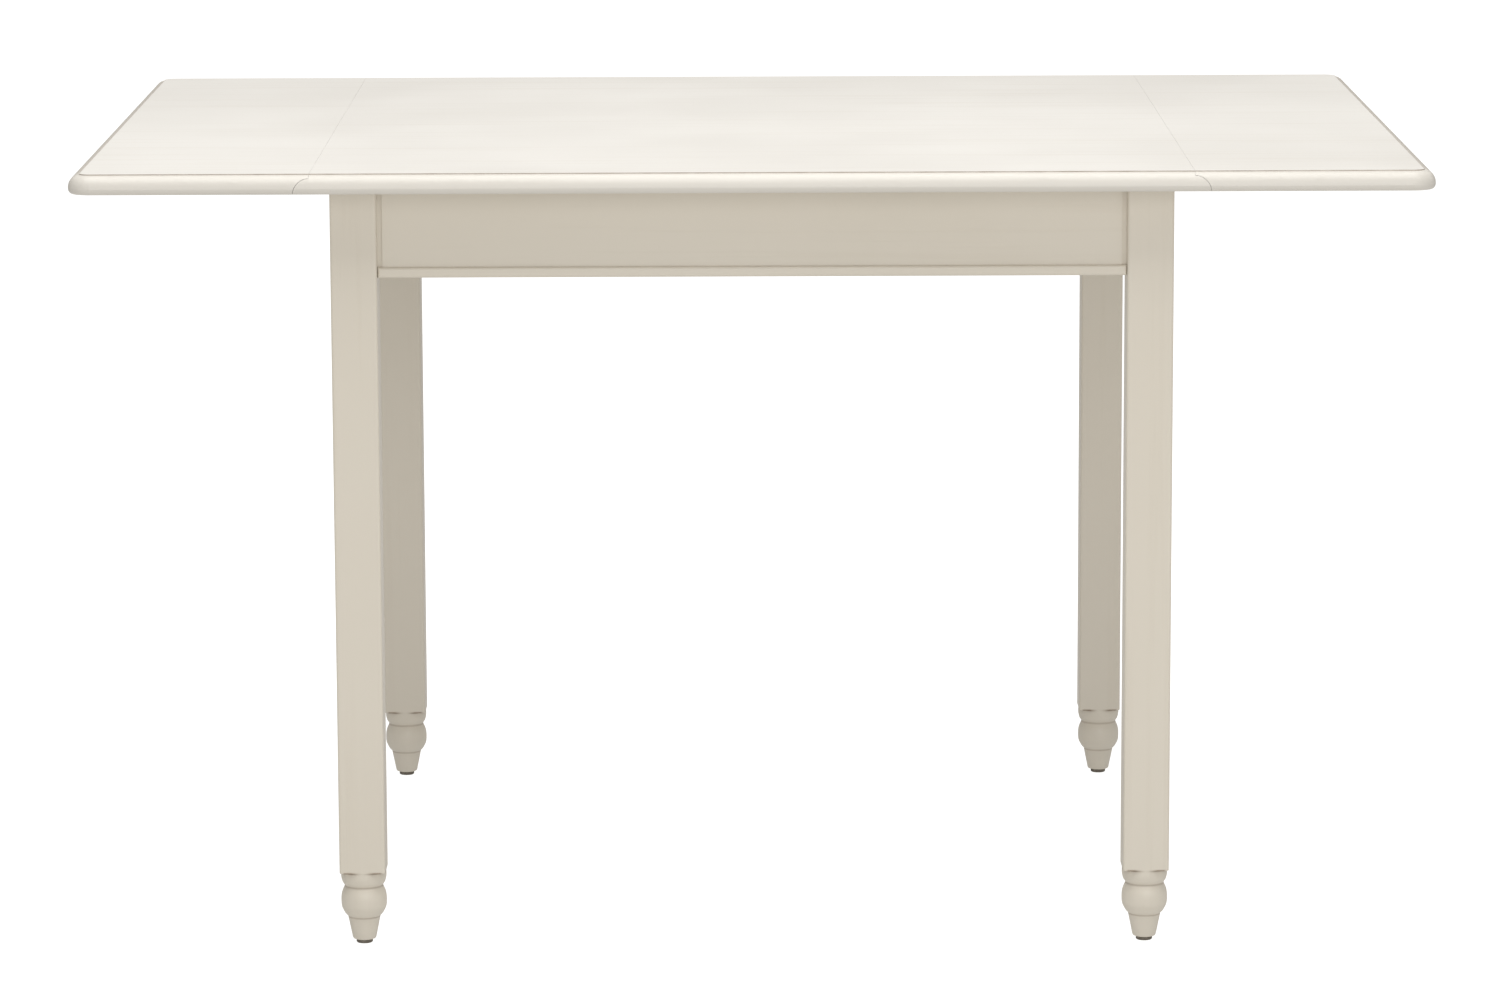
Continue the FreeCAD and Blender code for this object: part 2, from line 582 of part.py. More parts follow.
def drilled(shape, pairs, length):
    """The piece with a clearance hole for each screw."""
    for seat, direction in pairs:
        shape = shape.cut(screw(seat, direction, length, HOLE_CLEARANCE))
    return shape


def screws_of(pairs, length):
    return [screw(seat, direction, length) for seat, direction in pairs]


def build():
    """Every node's shape, by name; a list is a group of separate solids."""
    nodes = {}
    centre, leaves = top_boards()
    leg, glide = leg_and_glide()
    apron, bead = apron_and_bead()
    block, bolt, bolt_hole, washer, nut, block_screws = corner_hardware()
    bracket, pivot_stud, bracket_screws = stay_bracket()
    slot_plate, web_y, slot_screws = stay_slot_plate()
    bar = stay_bar()
    tip_x = STAY_PIVOT_X + STAY_LENGTH
    bar_stud = stud(tip_x, STAY_PIVOT_Z, STAY_Y + STAY_SIDE_GAP, web_y + STAY_SIDE_GAP)
    angles, angle_screws = top_angles()

    all_block_screws = []
    all_bracket_screws = []
    hinge_top_screws = []
    bolts, washers, nuts, pivots, pins = [], [], [], [], []
    leg = leg.cut(bolt_hole)
    for side, x_sign in SIDES.items():
        leaf_hinge_screws = []
        leaf_stay_screws = []
        slot_plates = []
        for place, y in HINGE_PLACES.items():
            for for_leaf, label in ((False, "top"), (True, "leaf")):
                plate, screws = hinge_plate(y, for_leaf)
                nodes[f"hinge_{label}_plate_{side}_{place}"] = mirrored(plate, x_sign, 1)
                group = leaf_hinge_screws if for_leaf else hinge_top_screws
                group += copies(screws, x_sign, 1)
            pins.append(mirrored(hinge_pin(y), x_sign, 1))
        for end, y_sign in ENDS.items():
            here = (x_sign, y_sign)
            nodes[f"leg_{end}_{side}"] = mirrored(leg, *here)
            nodes[f"glide_{end}_{side}"] = mirrored(glide, *here)
            nodes[f"corner_block_{end}_{side}"] = mirrored(block, *here)
            nodes[f"stay_bracket_{side}_{end}"] = mirrored(bracket, *here)
            nodes[f"stay_bar_{side}_{end}"] = mirrored(bar, *here)
            nodes[f"stay_stud_{side}_{end}"] = mirrored(bar_stud, *here)
            slot_plates.append(mirrored(slot_plate, *here))
            for group, piece in ((bolts, bolt), (washers, washer), (nuts, nut), (pivots, pivot_stud)):
                group.append(mirrored(piece, *here))
            all_block_screws += copies(block_screws, *here)
            all_bracket_screws += copies(bracket_screws, *here)
            leaf_stay_screws += copies(slot_screws, *here)
        nodes[f"stay_slot_plates_{side}"] = slot_plates
        leaf = drilled(leaves[side], leaf_hinge_screws, HINGE_SCREW_LENGTH)
        nodes[f"leaf_{side}"] = drilled(leaf, leaf_stay_screws, STAY_SCREW_LENGTH)
        nodes[f"leaf_screws_{side}"] = screws_of(leaf_hinge_screws, HINGE_SCREW_LENGTH) + screws_of(
            leaf_stay_screws, STAY_SCREW_LENGTH
        )

    for index, name in enumerate(("rear", "left", "front", "right")):
        board = apron.copy()
        strip = bead.copy()
        for piece in (board, strip):
            piece.rotate(ORIGIN, Z_AXIS, 90 * index)
        board = drilled(board, near_only(all_block_screws, board), BLOCK_SCREW_LENGTH)
        board = drilled(board, near_only(all_bracket_screws, board), STAY_SCREW_LENGTH)
        nodes[f"apron_{name}"] = drilled(board, near_only(angle_screws, board), ANGLE_SCREW_LENGTH)
        nodes[f"apron_bead_{name}"] = strip
    up = [pair for pair in angle_screws if pair[1].z > 0.5]
    centre = drilled(centre, hinge_top_screws, HINGE_SCREW_LENGTH)
    nodes["top_centre"] = drilled(centre, up, ANGLE_SCREW_LENGTH)
    nodes["top_angles"] = angles
    nodes["hanger_bolts"] = bolts
    nodes["hanger_washers"] = washers
    nodes["hanger_nuts"] = nuts
    nodes["hinge_pins"] = pins
    nodes["stay_pivot_studs"] = pivots
    nodes["corner_block_screws"] = screws_of(all_block_screws, BLOCK_SCREW_LENGTH)
    nodes["underside_screws"] = (
        screws_of(hinge_top_screws, HINGE_SCREW_LENGTH)
        + screws_of(all_bracket_screws, STAY_SCREW_LENGTH)
        + screws_of(angle_screws, ANGLE_SCREW_LENGTH)
    )
    return nodes


def near_only(pairs, board):
    """The screws whose seat is within a screw's length of a board's box and that point into it."""
    bounds = board.BoundBox
    found = []
    for seat, direction in pairs:
        tip = seat + direction * (BLOCK_SCREW_LENGTH / 2)
        if bounds.isInside(tip):
            found.append((seat, direction))
    return found


def main():
    os.makedirs("parts", exist_ok=True)
    nodes = build()
    for name, shape in nodes.items():
        solids = shape if isinstance(shape, list) else [shape]
        made = [s for piece in solids for s in piece.Solids]
        for solid in made:
            if not solid.isValid() or solid.Volume <= 0:
                raise ValueError(f"{name} has a bad solid")
        result = made[0] if len(made) == 1 else Part.makeCompound(made)
        result.exportStep(f"parts/{name}.step")
        print(f"{name}: {len(made)} solid(s), {sum(s.Volume for s in made) / 1000:.1f} cm3")
    print(len(nodes), "nodes")


main()
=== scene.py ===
# %% [markdown]
# # A painted drop leaf table
# The table has a fixed centre top, a leaf at each end on rule joints, four aprons with a bead along
# the bottom, and four straight legs that end in turned feet. The measured parts are loaded first as
# a fixed frame. Everything added here is placed from the boxes of those parts.

# %% Load the frame
import json
import math

import bpy
import numpy as np
from mathutils import Matrix, Vector


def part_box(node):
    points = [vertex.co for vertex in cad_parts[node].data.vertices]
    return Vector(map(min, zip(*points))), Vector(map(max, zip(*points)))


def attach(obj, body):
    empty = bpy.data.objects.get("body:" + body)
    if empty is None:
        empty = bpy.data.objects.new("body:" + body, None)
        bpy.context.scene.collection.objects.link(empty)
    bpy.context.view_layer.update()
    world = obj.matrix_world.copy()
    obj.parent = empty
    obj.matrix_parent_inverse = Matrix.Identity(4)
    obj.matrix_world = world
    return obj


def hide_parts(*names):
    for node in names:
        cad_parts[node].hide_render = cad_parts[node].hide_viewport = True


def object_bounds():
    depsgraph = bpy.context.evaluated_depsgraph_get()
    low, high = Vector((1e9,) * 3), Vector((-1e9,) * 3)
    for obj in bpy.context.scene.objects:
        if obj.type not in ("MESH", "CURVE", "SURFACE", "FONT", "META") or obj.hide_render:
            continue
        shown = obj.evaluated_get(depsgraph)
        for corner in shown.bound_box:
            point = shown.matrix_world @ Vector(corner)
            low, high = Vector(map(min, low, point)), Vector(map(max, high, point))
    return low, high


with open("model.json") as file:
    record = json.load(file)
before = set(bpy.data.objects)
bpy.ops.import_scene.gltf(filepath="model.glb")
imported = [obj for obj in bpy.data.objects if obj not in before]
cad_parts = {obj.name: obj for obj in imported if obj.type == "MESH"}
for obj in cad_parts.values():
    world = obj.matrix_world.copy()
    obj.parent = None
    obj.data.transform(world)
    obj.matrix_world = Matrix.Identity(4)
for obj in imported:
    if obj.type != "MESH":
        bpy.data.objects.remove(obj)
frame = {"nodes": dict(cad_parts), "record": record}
cad_low, cad_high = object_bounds()
slot_of = {part["node"]: part["material_slot"] for part in frame["record"]["subparts"]}

# %% [markdown]
# ## Camera
# A long lens from six metres away gives the flat, quiet look of a catalogue picture. The camera
# could be aimed with a constraint or with Euler angles. It is set here by its own three directions,
# because a rotation matrix built from them leaves no doubt about the order of the turns.

# %% Camera
LENS_MM = 144.42
SENSOR_MM = 36
camera_at = Vector((-0.01137, -6.09904, 1.42681))
camera_yaw, camera_pitch, camera_roll = 0.0015, 0.171, -0.0035
forward = Vector((
    math.sin(camera_yaw) * math.cos(camera_pitch),
    math.cos(camera_yaw) * math.cos(camera_pitch),
    -math.sin(camera_pitch),
))
level_right = Vector((math.cos(camera_yaw), -math.sin(camera_yaw), 0))
level_up = level_right.cross(forward)
right = level_right * math.cos(camera_roll) + level_up * math.sin(camera_roll)
up = level_up * math.cos(camera_roll) - level_right * math.sin(camera_roll)
camera_data = bpy.data.cameras.new("catalogue_camera")
camera_data.lens = LENS_MM
camera_data.sensor_width = SENSOR_MM
camera_data.clip_end = 100
camera = bpy.data.objects.new("catalogue_camera", camera_data)
bpy.context.scene.collection.objects.link(camera)
turn = Matrix((right, up, -forward)).transposed().to_4x4()
camera.matrix_world = Matrix.Translation(camera_at) @ turn
bpy.context.scene.camera = camera
print("camera lens", LENS_MM, "mm at", [round(v, 3) for v in camera_at])

# %% [markdown]
# ## Studio
# Cream paint shows its shape only by soft shading. Small lamps would draw hard shadows on it, so the
# light is one wide panel overhead, a weaker one in front, and a dim warm surround. A floor that looks
# white would throw too much light up under the edges. So the floor is a mid grey that also glows: a
# view of it gets the full glow, and the table gets about two fifths of that.

# %% Studio light
scene = bpy.context.scene
scene.view_settings.view_transform = "Standard"
scene.view_settings.look = "None"
world = bpy.data.worlds.new("white_surround")
scene.world = world
world.use_nodes = True
surround = world.node_tree.nodes["Background"]
surround.inputs["Color"].default_value = (1.0, 0.985, 0.96, 1)
surround.inputs["Strength"].default_value = 0.45


def soft_panel(name, place, target, width, depth, power):
    """A rectangular lamp at place that faces target; its size sets how soft the shadows are."""
    data = bpy.data.lights.new(name, "AREA")
    data.shape = "RECTANGLE"
    data.size, data.size_y = width, depth
    data.energy = power
    lamp = bpy.data.objects.new(name, data)
    lamp.matrix_world = Matrix.Translation(place) @ (
        (Vector(target) - Vector(place)).to_track_quat("-Z", "Y").to_matrix().to_4x4()
    )
    scene.collection.objects.link(lamp)


soft_panel("overhead_panel", (0.0, -0.6, 3.2), target=(0, 0, 0.5), width=2.8, depth=3.2, power=77)
soft_panel("front_panel", (0.9, -5.2, 1.6), target=(0, 0, 0.42), width=3.4, depth=2.4, power=56)

# %% A pale floor
FLOOR_REACH = 24.0
GLOW_TO_ALL = 0.36
GLOW_MORE_IF_SEEN = 0.58
floor_mesh = bpy.data.meshes.new("studio_floor")
floor_corners = [(x * FLOOR_REACH, y * FLOOR_REACH, 0) for x, y in ((-1, -1), (1, -1), (1, 1), (-1, 1))]
floor_mesh.from_pydata(floor_corners, [], [(0, 1, 2, 3)])
floor = bpy.data.objects.new("studio_floor", floor_mesh)
scene.collection.objects.link(floor)
floor_paint = bpy.data.materials.new("pale_floor")
floor_paint.use_nodes = True
floor_shader = floor_paint.node_tree.nodes["Principled BSDF"]
floor_shader.inputs["Base Color"].default_value = (0.42, 0.415, 0.40, 1)
floor_shader.inputs["Roughness"].default_value = 0.9
floor_shader.inputs["Specular IOR Level"].default_value = 0.0
floor_shader.inputs["Emission Color"].default_value = (1, 1, 1, 1)
seen = floor_paint.node_tree.nodes.new("ShaderNodeLightPath")
glow = floor_paint.node_tree.nodes.new("ShaderNodeMath")
glow.operation = "MULTIPLY_ADD"
glow.inputs[1].default_value = GLOW_MORE_IF_SEEN
glow.inputs[2].default_value = GLOW_TO_ALL
floor_paint.node_tree.links.new(seen.outputs["Is Camera Ray"], glow.inputs[0])
floor_paint.node_tree.links.new(glow.outputs[0], floor_shader.inputs["Emission Strength"])
floor_mesh.materials.append(floor_paint)
print("floor:", floor.name, "reaches", FLOOR_REACH, "m each way")

# %% [markdown]
# ## Helpers for shader trees
# A material is a small graph. These helpers keep each node to one line, so that the order of the
# lines tells the order of the effect.

# %% Shader helpers
def add(tree, kind, **settings):
    """A node of this kind in the tree, with its settings made."""
    node = tree.nodes.new(kind)
    for name, value in settings.items():
        setattr(node, name, value)
    return node


def wire(tree, source, target):
    """A link from an output, or a plain value, to an input."""
    if isinstance(source, (int, float, tuple)):
        target.default_value = source
    else:
        tree.links.new(source, target)


def calculate(tree, operation, *values, clamp=False):
    """A Math node; its result goes wherever the value is wanted."""
    node = add(tree, "ShaderNodeMath", operation=operation, use_clamp=clamp)
    for value, socket in zip(values, node.inputs):
        wire(tree, value, socket)
    return node.outputs[0]


def remap(tree, value, low, high, to_low=0.0, to_high=1.0, smooth=False):
    """A value moved from one range to another, and held at the ends."""
    node = add(tree, "ShaderNodeMapRange", interpolation_type="SMOOTHSTEP" if smooth else "LINEAR")
    for source, name in ((value, "Value"), (low, "From Min"), (high, "From Max")):
        wire(tree, source, node.inputs[name])
    node.inputs["To Min"].default_value = to_low
    node.inputs["To Max"].default_value = to_high
    return node.outputs["Result"]


def blend_colour(tree, share, first, second):
    """The first colour at share 0 and the second at share 1."""
    node = add(tree, "ShaderNodeMix", data_type="RGBA", clamp_factor=True)
    wire(tree, share, node.inputs["Factor"])
    wire(tree, first, node.inputs["A"])
    wire(tree, second, node.inputs["B"])
    return node.outputs["Result"]


def split(tree, vector):
    """The three coordinates of a vector, each as its own value."""
    node = add(tree, "ShaderNodeSeparateXYZ")
    wire(tree, vector, node.inputs[0])
    return node.outputs


def noise(tree, vector, scale, detail=3.0, roughness=0.5):
    """Smooth random values near a half; scale is how many waves fit in a metre."""
    node = add(tree, "ShaderNodeTexNoise")
    wire(tree, vector, node.inputs["Vector"])
    wire(tree, scale, node.inputs["Scale"])
    node.inputs["Detail"].default_value = detail
    node.inputs["Roughness"].default_value = roughness
    return node.outputs["Fac"]


def new_group(name, inputs, outputs):
    """An empty shader group with named sockets: inputs are (name, kind, default)."""
    group = bpy.data.node_groups.new(name, "ShaderNodeTree")
    for label, kind, default in inputs:
        socket = group.interface.new_socket(label, in_out="INPUT", socket_type=kind)
        if default is not None:
            socket.default_value = default
    for label, kind in outputs:
        group.interface.new_socket(label, in_out="OUTPUT", socket_type=kind)
    return group, add(group, "NodeGroupInput"), add(group, "NodeGroupOutput")


def place_group(tree, group, **values):
    """The group as a node; a keyword sets the input whose name it spells with underscores."""
    node = add(tree, "ShaderNodeGroup", node_tree=group)
    for name, value in values.items():
        wire(tree, value, node.inputs[name.replace("_", " ")])
    return node


print("shader helpers:", [f.__name__ for f in (add, wire, calculate, remap, blend_colour, split, noise)])

# %% [markdown]
# ## Paint over wood grain
# Brushed paint on wood is uneven at four scales: the grain that shows through from below, the fine
# lines of the brush, slow clouds where the coat is thicker, and the tiny dimples of a dried film. The
# first two are stretched along the board. They could be painted on a picture, but noise needs no
# picture and no seams. Every painted material uses them, so they are one shader group, with the
# coordinates fed in both plain and stretched.

# %% Group: brushed paint
PAINT, paint_in, paint_out = new_group(
    "brushed_paint",
    [("Along", "NodeSocketVector", None), ("Plain", "NodeSocketVector", None)],
    [("Height", "NodeSocketFloat"), ("Cloud", "NodeSocketFloat"), ("Grain", "NodeSocketFloat")],
)
grain_wave = noise(PAINT, paint_in.outputs["Along"], 1.0, detail=4.0, roughness=0.62)
brush_wave = noise(PAINT, paint_in.outputs["Along"], 5.5, detail=2.0, roughness=0.5)
cloud_wave = noise(PAINT, paint_in.outputs["Plain"], 3.2, detail=3.0, roughness=0.55)
peel_wave = noise(PAINT, paint_in.outputs["Plain"], 420.0, detail=1.0, roughness=0.4)
pores = remap(PAINT, grain_wave, 0.52, 0.68, smooth=True)
height_sum = calculate(PAINT, "MULTIPLY_ADD", brush_wave, 0.45, calculate(PAINT, "MULTIPLY", pores, 0.6))
height_sum = calculate(PAINT, "MULTIPLY_ADD", peel_wave, 0.12, height_sum)
PAINT.links.new(height_sum, paint_out.inputs["Height"])
PAINT.links.new(remap(PAINT, cloud_wave, 0.3, 0.7), paint_out.inputs["Cloud"])
PAINT.links.new(pores, paint_out.inputs["Grain"])
print("paint group nodes:", len(PAINT.nodes))

# %% [markdown]
# ## Painted shade in the creases
# Shade that falls in the creases is painted in as a thin brown line. A crease on a
# straight board is a known line, so a group turns the distance from that line into a mask with soft
# and slightly uneven sides. A turned foot has no such line, so each leg carries a mask of its own.

# %% Group: painted crease shade
CREASE_SHADE, shade_in, shade_out = new_group(
    "painted_crease_shade",
    [
        ("Distance", "NodeSocketFloat", 0.0),
        ("Width", "NodeSocketFloat", 0.001),
        ("Plain", "NodeSocketVector", None),
    ],
    [("Mask", "NodeSocketFloat")],
)
uneven = remap(CREASE_SHADE, noise(CREASE_SHADE, shade_in.outputs["Plain"], 38.0, detail=2.0), 0.3, 0.7, 0.55, 1.0)
either_side = calculate(CREASE_SHADE, "ABSOLUTE", shade_in.outputs["Distance"])
away = calculate(CREASE_SHADE, "DIVIDE", either_side, shade_in.outputs["Width"])
# The mask is painted shade: darkest on the crease, fading to either side.
line_mask = calculate(CREASE_SHADE, "MULTIPLY", remap(CREASE_SHADE, away, 0.0, 1.0, 1.0, 0.0, smooth=True), uneven)
CREASE_SHADE.links.new(line_mask, shade_out.inputs["Mask"])
print("glaze group nodes:", len(CREASE_SHADE.nodes))


# %% Helpers: where a pattern lies, a new material, a bump
def object_place(tree, stretch):
    """The plain object coordinates, and the same squeezed along the board by the stretch."""
    place = add(tree, "ShaderNodeTexCoord").outputs["Object"]
    mapping = add(tree, "ShaderNodeMapping")
    wire(tree, place, mapping.inputs["Vector"])
    mapping.inputs["Scale"].default_value = stretch
    return place, mapping.outputs["Vector"]


def new_material(name, roughness, specular=0.5, metallic=0.0):
    """A material and its Principled shader, with the plain numbers already on its sockets."""
    material = bpy.data.materials.new(name)
    material.use_nodes = True
    shader = material.node_tree.nodes["Principled BSDF"]
    shader.inputs["Roughness"].default_value = roughness
    shader.inputs["Specular IOR Level"].default_value = specular
    shader.inputs["Metallic"].default_value = metallic
    return material, material.node_tree, shader


def finish_bump(tree, shader, height, distance, strength=1.0):
    """A Bump node from the height, distance in metres, on the shader's normal."""
    bump = add(tree, "ShaderNodeBump")
    bump.inputs["Distance"].default_value = distance
    bump.inputs["Strength"].default_value = strength
    wire(tree, height, bump.inputs["Height"])
    wire(tree, bump.outputs["Normal"], shader.inputs["Normal"])


print("groups ready:", [group.name for group in bpy.data.node_groups])

# %% [markdown]
# ## Cream paint on the top
# The three top boards share one material. Its grain runs along the table. A brown line of painted
# shade lies where the flat top steps down to the moulding, a fixed distance in from the outline. The
# outline is a rectangle with rounded corners, so how far in a point lies is worked out from its
# coordinates: it is the corner radius less the distance from the smaller rectangle that joins the
# corners' centres. The moulding is sanded smoother than the top, and painted shade makes it a little
# deeper in tone. At the two ends of the table the end mouldings get more painted shade, where the
# moulding falls away from the light.

# %% Material: cream top
CREAM_TOP = (0.805, 0.780, 0.733, 1)
CREAM_TOP_DEEP = (0.775, 0.745, 0.692, 1)
# Painted shade: the moulding's cream is the top's paint made darker, to hold back the light on its curve.
CREAM_MOULDING_SHADED = (0.675, 0.640, 0.580, 1)
# Painted shade on the end mouldings, where the moulding falls away from the light.
END_MOULDING_SHADE = (0.360, 0.315, 0.255, 1)
# The brown of the painted shade in the creases.
SHADE_BROWN = (0.215, 0.140, 0.085, 1)
PORE_ON_TOP = (0.60, 0.53, 0.43, 1)
TOP_GRAIN_STRETCH = (2.4, 95.0, 95.0)
STEP_INSET = 0.011
LINE_REACHES_DOWN = 0.0016
PLAN_RADIUS = 0.022
half_length = (cad_high.x - cad_low.x) / 2
half_depth = (cad_high.y - cad_low.y) / 2
top_height = cad_high.z


def outline_distances(tree, x, y):
    """How far inside the step a point is, and how much nearer it is to an end than to a side.

    past is the distance beyond the smaller rectangle along X and along Y. A point reaches out by the
    length of the two positive parts, plus the larger one where both are negative.
    """
    past_x = calculate(tree, "SUBTRACT", calculate(tree, "ABSOLUTE", x), half_length - PLAN_RADIUS)
    past_y = calculate(tree, "SUBTRACT", calculate(tree, "ABSOLUTE", y), half_depth - PLAN_RADIUS)
    out_x = calculate(tree, "MAXIMUM", past_x, 0.0)
    out_y = calculate(tree, "MAXIMUM", past_y, 0.0)
    squares = calculate(tree, "MULTIPLY_ADD", out_x, out_x, calculate(tree, "MULTIPLY", out_y, out_y))
    within = calculate(tree, "MINIMUM", calculate(tree, "MAXIMUM", past_x, past_y), 0.0)
    reach_out = calculate(tree, "ADD", calculate(tree, "SQRT", squares), within)
    from_step = calculate(tree, "SUBTRACT", PLAN_RADIUS - STEP_INSET, reach_out)
    return from_step, calculate(tree, "SUBTRACT", past_x, past_y)


def cream_top_material():
    """Cream with clouds and pores; painted shade deeper on the moulding, deepest at the ends, a line at
    the step.
    """
    material, tree, shader = new_material("cream_paint_top", 0.36, specular=0.45)
    plain, along = object_place(tree, TOP_GRAIN_STRETCH)
    paint = place_group(tree, PAINT, Along=along, Plain=plain)
    x, y, z = split(tree, plain)
    from_step, sideways = outline_distances(tree, x, y)
    # Painted shade in the crease where the top steps down to the moulding.
    line = place_group(tree, CREASE_SHADE, Distance=from_step, Width=0.0009, Plain=plain).outputs["Mask"]
    high = calculate(tree, "GREATER_THAN", z, top_height - LINE_REACHES_DOWN)
    line = calculate(tree, "MULTIPLY", line, high)
    moulding = remap(tree, from_step, -0.0004, 0.0002, 1.0, 0.0)
    # Painted shade on the end mouldings, starting past the corners.
    end_moulding_shade = calculate(tree, "MULTIPLY", remap(tree, sideways, 0.004, 0.030), moulding)
    colour = blend_colour(tree, paint.outputs["Cloud"], CREAM_TOP_DEEP, CREAM_TOP)
    pore = calculate(tree, "MULTIPLY", paint.outputs["Grain"], 0.13)
    colour = blend_colour(tree, pore, colour, PORE_ON_TOP)
    # Painted shade over the moulding.
    colour = blend_colour(tree, calculate(tree, "MULTIPLY", moulding, 0.9), colour, CREAM_MOULDING_SHADED)
    # The painted shade at the two ends.
    colour = blend_colour(tree, calculate(tree, "MULTIPLY", end_moulding_shade, 0.5), colour, END_MOULDING_SHADE)
    # The painted shade line at the step.
    colour = blend_colour(tree, calculate(tree, "MULTIPLY", line, 0.58), colour, SHADE_BROWN)
    wire(tree, colour, shader.inputs["Base Color"])
    rough = remap(tree, paint.outputs["Cloud"], 0.0, 1.0, 0.33, 0.43)
    wire(tree, rough, shader.inputs["Roughness"])
    sanded = remap(tree, moulding, 0.0, 1.0, 1.0, 0.15)
    height = calculate(tree, "MULTIPLY", paint.outputs["Height"], sanded)
    finish_bump(tree, shader, height, 0.00022, 0.5)
    return material


materials = {"painted_top": cream_top_material()}
print("materials so far:", list(materials))

# %% [markdown]
# ## Cream paint on the frame
# The legs and aprons have the same paint as the top, painted darker and warmer as shade for the
# dimmer, warmer light on their upright faces. Their grain runs along each piece. One material could
# turn its pattern by the piece's name, but a material can't read a name, so there are three versions
# with the stretch along X, Y and Z. A line of painted shade sits in the crease above the bead, and on
# the legs painted shade comes from an attribute that each leg carries.

# %% Material: cream frame
# Painted shade: the frame's cream and pores are the top's made darker and warmer, for the dimmer light on
# upright faces.
CREAM_FRAME_SHADED = (0.722, 0.668, 0.575, 1)
CREAM_FRAME_SHADED_DEEP = (0.700, 0.645, 0.550, 1)
PORE_ON_FRAME = (0.50, 0.42, 0.31, 1)
FRAME_ALONG, FRAME_ACROSS = 2.6, 105.0
bead_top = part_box("apron_bead_front")[1].z


def cream_frame_material(direction):
    """The frame's cream for pieces whose grain runs along X, Y or Z."""
    stretch = [FRAME_ALONG if axis == direction else FRAME_ACROSS for axis in "xyz"]
    material, tree, shader = new_material("cream_paint_" + direction, 0.42, specular=0.4)
    plain, along = object_place(tree, stretch)
    paint = place_group(tree, PAINT, Along=along, Plain=plain)
    if direction == "z":
        # Painted shade in the leg's creases and shoulder, read from the leg's attribute.
        mask = add(tree, "ShaderNodeAttribute", attribute_name="painted_shade").outputs["Fac"]
    else:
        # Painted shade along the crease above the bead.
        from_line = calculate(tree, "SUBTRACT", split(tree, plain)["Z"], bead_top)
        mask = place_group(tree, CREASE_SHADE, Distance=from_line, Width=0.0014, Plain=plain).outputs["Mask"]
        mask = calculate(tree, "MULTIPLY", mask, 0.16)
    colour = blend_colour(tree, paint.outputs["Cloud"], CREAM_FRAME_SHADED_DEEP, CREAM_FRAME_SHADED)
    pore = calculate(tree, "MULTIPLY", paint.outputs["Grain"], 0.05)
    colour = blend_colour(tree, pore, colour, PORE_ON_FRAME)
    colour = blend_colour(tree, mask, colour, SHADE_BROWN)
    wire(tree, colour, shader.inputs["Base Color"])
    wire(tree, remap(tree, paint.outputs["Cloud"], 0.0, 1.0, 0.33, 0.42), shader.inputs["Roughness"])
    finish_bump(tree, shader, paint.outputs["Height"], 0.00018, 0.5)
    return material


frame_paint = {direction: cream_frame_material(direction) for direction in "xyz"}
print("frame paints:", [m.name for m in frame_paint.values()])

# %% [markdown]
# ## Bare wood underneath
# The corner blocks are out of sight and unpainted: sawn wood with open grain. A wood texture with
# rings could be cut through in 3-D, but blocks this small show only streaks, so the paint's own grain
# is used again with wood colours and a deeper bump.

# %% Material: sawn wood
WOOD_DARK = (0.34, 0.21, 0.11, 1)
WOOD_LIGHT = (0.46, 0.30, 0.165, 1)
WOOD_PORE = (0.22, 0.125, 0.06, 1)


def bare_wood_material():
    """Brown streaks that run up the block."""
    material, tree, shader = new_material("sawn_blocks", 0.7, specular=0.25)
    plain, along = object_place(tree, (70.0, 70.0, 5.0))
    paint = place_group(tree, PAINT, Along=along, Plain=plain)
    colour = blend_colour(tree, paint.outputs["Cloud"], WOOD_DARK, WOOD_LIGHT)
    colour = blend_colour(tree, paint.outputs["Grain"], colour, WOOD_PORE)
    wire(tree, colour, shader.inputs["Base Color"])
    finish_bump(tree, shader, paint.outputs["Height"], 0.0004, 0.7)
    return material


materials["bare_wood"] = bare_wood_material()
print("wood:", materials["bare_wood"].name)

# %% [markdown]
# ## Steel hinges, stays and screws
# Hinge plates and stays are rolled strip with fine lines along it, and screws are zinc plated and
# brighter. Anisotropic shading would draw the lines' glint, but on parts this small a stretched
# noise in the roughness and bump gives the same look. One function makes all three.

# %% Materials: steel
def steel_material(name, light, dark, rough, stretch):
    """Metal whose roughness follows fine lines, with slow blotches from the light to the dark tone."""
    material, tree, shader = new_material(name, rough, metallic=1.0)
    plain, along = object_place(tree, stretch)
    lines = noise(tree, along, 12.0, detail=2.0)
    blotch = noise(tree, plain, 60.0, detail=3.0)
    colour = blend_colour(tree, remap(tree, blotch, 0.35, 0.7), light, dark)
    wire(tree, colour, shader.inputs["Base Color"])
    wire(tree, remap(tree, lines, 0.3, 0.7, rough - 0.06, rough + 0.08), shader.inputs["Roughness"])
    finish_bump(tree, shader, lines, 0.00004, 0.6)
    return material


materials["hinge_steel"] = steel_material(
    "hinge_steel", (0.50, 0.48, 0.44, 1), (0.36, 0.34, 0.31, 1), 0.36, (90.0, 4.0, 90.0))
materials["stay_steel"] = steel_material(
    "stay_steel", (0.55, 0.55, 0.53, 1), (0.42, 0.42, 0.41, 1), 0.32, (4.0, 90.0, 90.0))
materials["fastener_zinc"] = steel_material(
    "zinc_fasteners", (0.68, 0.68, 0.66, 1), (0.52, 0.53, 0.53, 1), 0.28, (60.0, 60.0, 60.0))
print("metals:", [materials[slot].name for slot in ("hinge_steel", "stay_steel", "fastener_zinc")])

# %% [markdown]
# ## Glides
# A glide is a domed nail under each foot, dull brown-grey, and scuffed by the floor. The scuffs could
# be modelled, but at this size a fine noise that lightens the colour and dents the surface is enough.

